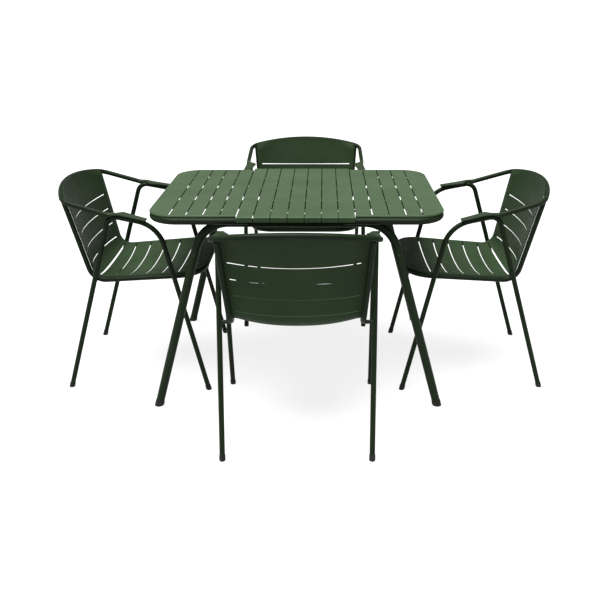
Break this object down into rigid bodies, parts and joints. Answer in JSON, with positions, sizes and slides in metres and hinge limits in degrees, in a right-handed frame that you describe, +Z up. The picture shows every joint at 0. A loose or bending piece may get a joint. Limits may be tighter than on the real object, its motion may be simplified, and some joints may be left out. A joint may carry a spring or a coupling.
{
  "type": "patio dining set",
  "caption": "Slatted rectangular steel garden table on splayed tube legs with matching tube-framed armchairs that slide under it from every side.",
  "frame": {"origin": "on the floor, under the middle of the whole set's box; the table's middle is 25 mm to the left of it and 53 mm in front of it, because the chairs stand at unequal distances", "axes": "+X to the right along the table's length, +Y from the front chair towards the rear chair, +Z up"},
  "size_m": [1.9226, 1.7346, 0.8096],
  "materials": {
    "green_powder_coat": "satin fine-texture powder coat on steel tube",
    "green_table_sheet": "satin fine-texture powder coat on folded steel sheet",
    "green_seat_sheet": "satin fine-texture powder coat on pressed steel sheet",
    "green_armrest": "satin powder coat, slightly polished by use",
    "green_screw": "powder-coated button-head screws",
    "black_foot": "moulded matt black plastic"
  },
  "bodies": {
    "table": {"left_rim": "green_powder_coat", "right_rim": "green_powder_coat", "left_panel": "green_table_sheet", "centre_panel": "green_table_sheet", "right_panel": "green_table_sheet", "front_bow": "green_powder_coat", "rear_bow": "green_powder_coat", "front_left_leg": "green_powder_coat", "front_right_leg": "green_powder_coat", "rear_left_leg": "green_powder_coat", "rear_right_leg": "green_powder_coat", "cross_bars": "green_powder_coat", "side_bearers": "green_powder_coat", "leg_screws": "green_screw", "table_feet": "black_foot"},
    "front_chair": {"front_chair_left_frame": "green_powder_coat", "front_chair_right_frame": "green_powder_coat", "front_chair_top_rail": "green_powder_coat", "front_chair_left_arm": "green_armrest", "front_chair_right_arm": "green_armrest", "front_chair_seat_loop": "green_powder_coat", "front_chair_seat_shell": "green_seat_sheet", "front_chair_links": "green_powder_coat", "front_chair_feet": "black_foot"},
    "rear_chair": {"rear_chair_left_frame": "green_powder_coat", "rear_chair_right_frame": "green_powder_coat", "rear_chair_top_rail": "green_powder_coat", "rear_chair_left_arm": "green_armrest", "rear_chair_right_arm": "green_armrest", "rear_chair_seat_loop": "green_powder_coat", "rear_chair_seat_shell": "green_seat_sheet", "rear_chair_links": "green_powder_coat", "rear_chair_feet": "black_foot"},
    "left_chair": {"left_chair_left_frame": "green_powder_coat", "left_chair_right_frame": "green_powder_coat", "left_chair_top_rail": "green_powder_coat", "left_chair_left_arm": "green_armrest", "left_chair_right_arm": "green_armrest", "left_chair_seat_loop": "green_powder_coat", "left_chair_seat_shell": "green_seat_sheet", "left_chair_links": "green_powder_coat", "left_chair_feet": "black_foot"},
    "right_chair": {"right_chair_left_frame": "green_powder_coat", "right_chair_right_frame": "green_powder_coat", "right_chair_top_rail": "green_powder_coat", "right_chair_left_arm": "green_armrest", "right_chair_right_arm": "green_armrest", "right_chair_seat_loop": "green_powder_coat", "right_chair_seat_shell": "green_seat_sheet", "right_chair_links": "green_powder_coat", "right_chair_feet": "black_foot"}
  },
  "joints": [
    {"name": "front_chair_slide", "type": "slide", "parent": "table", "child": "front_chair", "axis": [0, -1, 0], "range_m": [-0.03, 0.45]},
    {"name": "rear_chair_slide", "type": "slide", "parent": "table", "child": "rear_chair", "axis": [0, 1, 0], "range_m": [-0.12, 0.45]},
    {"name": "left_chair_slide", "type": "slide", "parent": "table", "child": "left_chair", "axis": [-1, 0, 0], "range_m": [-0.01, 0.45]},
    {"name": "right_chair_slide", "type": "slide", "parent": "table", "child": "right_chair", "axis": [1, 0, 0], "range_m": [-0.05, 0.45]}
  ]
}
